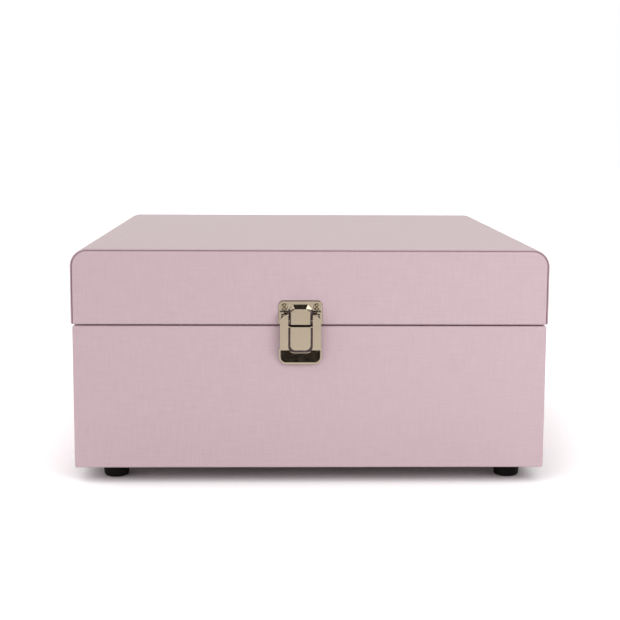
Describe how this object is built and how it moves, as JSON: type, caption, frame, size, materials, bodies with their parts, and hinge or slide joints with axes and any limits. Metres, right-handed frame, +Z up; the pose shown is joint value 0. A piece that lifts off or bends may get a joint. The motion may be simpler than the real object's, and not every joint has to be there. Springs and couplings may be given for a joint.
{
  "type": "jewelry box",
  "caption": "Cloth-covered jewelry box with a deep hinged lid, draw latch, rubber feet, mirror and lift-out tray with ring rolls.",
  "frame": {"origin": "on the table, under the middle of the case", "axes": "+X to the right of someone facing the latch, +Y to the back, +Z up"},
  "size_m": [0.3016, 0.3331, 0.1504],
  "materials": {
    "covered_board": "bare MDF under the cloth",
    "cover_cloth": "fine woven book cloth, dusty pink",
    "base_paper": "plain lining paper",
    "foot_rubber": "matt black moulded",
    "screw_steel": "nickel-plated screws",
    "velvet_board": "short velvet on card",
    "velvet_pad": "velvet over foam",
    "mirror_glass": "silvered glass",
    "nickel_plate": "warm bright nickel plate"
  },
  "bodies": {
    "body": {"body_front_panel": "covered_board", "body_back_panel": "covered_board", "body_left_panel": "covered_board", "body_right_panel": "covered_board", "body_bottom_panel": "covered_board", "body_cover": "cover_cloth", "base_sheet": "base_paper", "foot_front_left": "foot_rubber", "foot_front_right": "foot_rubber", "foot_rear_left": "foot_rubber", "foot_rear_right": "foot_rubber", "foot_screws": "screw_steel", "hinge_body_screws": "screw_steel", "latch_base_screws": "screw_steel", "body_wall_lining": "velvet_board", "tray_rail_left": "velvet_board", "tray_rail_right": "velvet_board", "lower_long_divider": "velvet_board", "lower_cross_divider_left": "velvet_board", "lower_cross_divider_right": "velvet_board", "body_floor_pad": "velvet_pad", "hinge_left_body_leaf": "nickel_plate", "hinge_left_pin": "nickel_plate", "hinge_right_body_leaf": "nickel_plate", "hinge_right_pin": "nickel_plate", "latch_base_plate": "nickel_plate", "latch_pivot_pins": "nickel_plate"},
    "lid": {"lid_front_panel": "covered_board", "lid_back_panel": "covered_board", "lid_left_panel": "covered_board", "lid_right_panel": "covered_board", "lid_top_panel": "covered_board", "lid_band_cover": "cover_cloth", "lid_front_cover": "cover_cloth", "lid_back_cover": "cover_cloth", "lid_wall_lining": "velvet_board", "mirror_frame": "velvet_board", "mirror": "mirror_glass", "hinge_left_lid_leaf": "nickel_plate", "hinge_right_lid_leaf": "nickel_plate", "hinge_lid_screws": "screw_steel", "latch_catch_plate": "nickel_plate", "latch_catch_screws": "screw_steel"},
    "latch_lever": {"latch_lever": "nickel_plate"},
    "latch_loop": {"latch_loop": "nickel_plate"},
    "tray": {"tray_base": "velvet_board", "tray_front_wall": "velvet_board", "tray_back_wall": "velvet_board", "tray_left_wall": "velvet_board", "tray_right_wall": "velvet_board", "tray_long_divider": "velvet_board", "tray_cross_divider_front": "velvet_board", "tray_cross_divider_rear": "velvet_board", "tray_floor_pad": "velvet_pad", "ring_roll_1": "velvet_pad", "ring_roll_2": "velvet_pad", "ring_roll_3": "velvet_pad", "ring_roll_4": "velvet_pad", "ring_roll_5": "velvet_pad"}
  },
  "joints": [
    {"name": "lid_hinge", "type": "hinge", "parent": "body", "child": "lid", "pos_m": [0, 0.1626, 0.10215], "axis": [-1, 0, 0], "range_deg": [0, 100]},
    {"name": "latch_lever_pivot", "type": "hinge", "parent": "body", "child": "latch_lever", "pos_m": [-0.0063, -0.1636, 0.10895], "axis": [-1, 0, 0], "range_deg": [0, 100]},
    {"name": "latch_loop_pivot", "type": "hinge", "parent": "latch_lever", "child": "latch_loop", "pos_m": [-0.0063, -0.1642, 0.10585], "axis": [-1, 0, 0], "range_deg": [-160, 0]},
    {"name": "tray_lift", "type": "slide", "parent": "body", "child": "tray", "axis": [0, 0, 1], "range_m": [0, 0.018]}
  ],
  "couplings": [
    {"joint": "latch_loop_pivot", "follows": "latch_lever_pivot", "ratio": -1.4}
  ]
}
